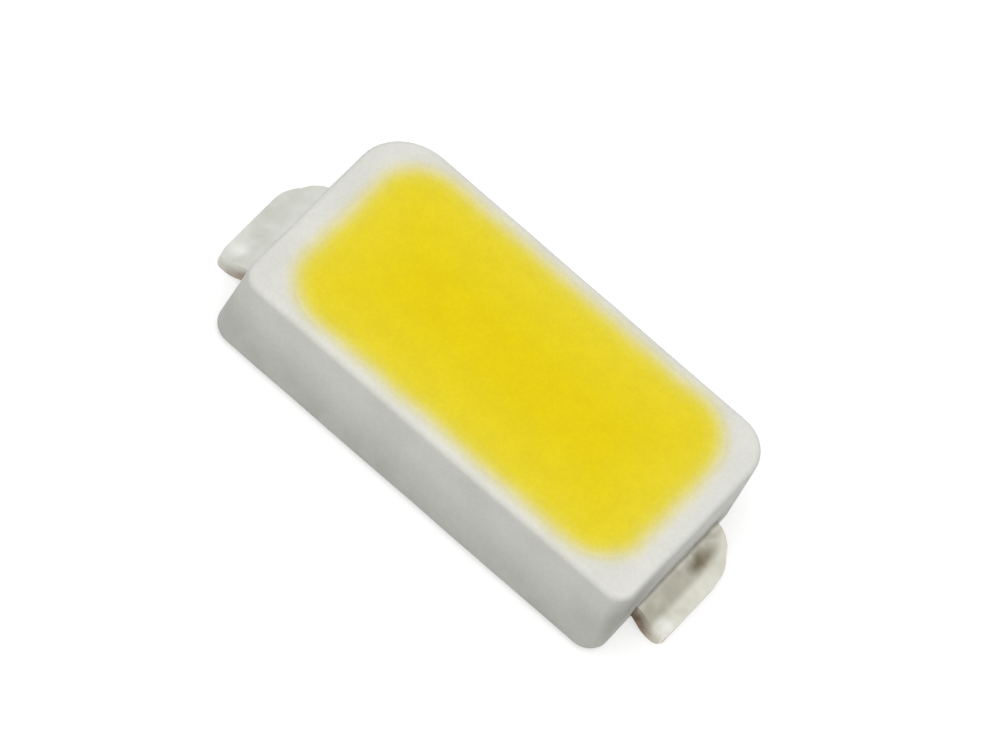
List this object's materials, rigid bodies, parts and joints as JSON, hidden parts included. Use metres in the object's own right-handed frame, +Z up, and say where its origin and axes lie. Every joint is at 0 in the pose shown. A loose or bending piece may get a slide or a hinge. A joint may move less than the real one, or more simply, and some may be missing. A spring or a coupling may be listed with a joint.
{
  "type": "smd led",
  "caption": "Flat rectangular surface-mount LED: a white reflector housing filled level with yellow phosphor silicone, with a bent silver-plated lead at each short end.",
  "frame": {"origin": "on the board surface, under the middle of the package", "axes": "+X along the package towards the anode lead, +Y across it, +Z up out of the light-emitting face"},
  "size_m": [0.003, 0.0014, 0.0006],
  "materials": {
    "white_plastic": "satin warm white moulded reflector plastic",
    "phosphor_silicone": "smooth yellow phosphor-loaded silicone",
    "plated_copper": "satin silver plating on stamped copper, bare copper on the cut sides",
    "sapphire_chip": "polished sapphire with a dark light-emitting layer",
    "die_glue": "cured milky adhesive",
    "gold": "bright gold"
  },
  "bodies": {
    "root": {"housing": "white_plastic", "encapsulant": "phosphor_silicone", "cathode_lead": "plated_copper", "anode_lead": "plated_copper", "led_chip": "sapphire_chip", "die_adhesive": "die_glue", "n_electrode": "gold", "p_electrode": "gold", "n_bond_wire": "gold", "p_bond_wire": "gold"}
  },
  "joints": []
}
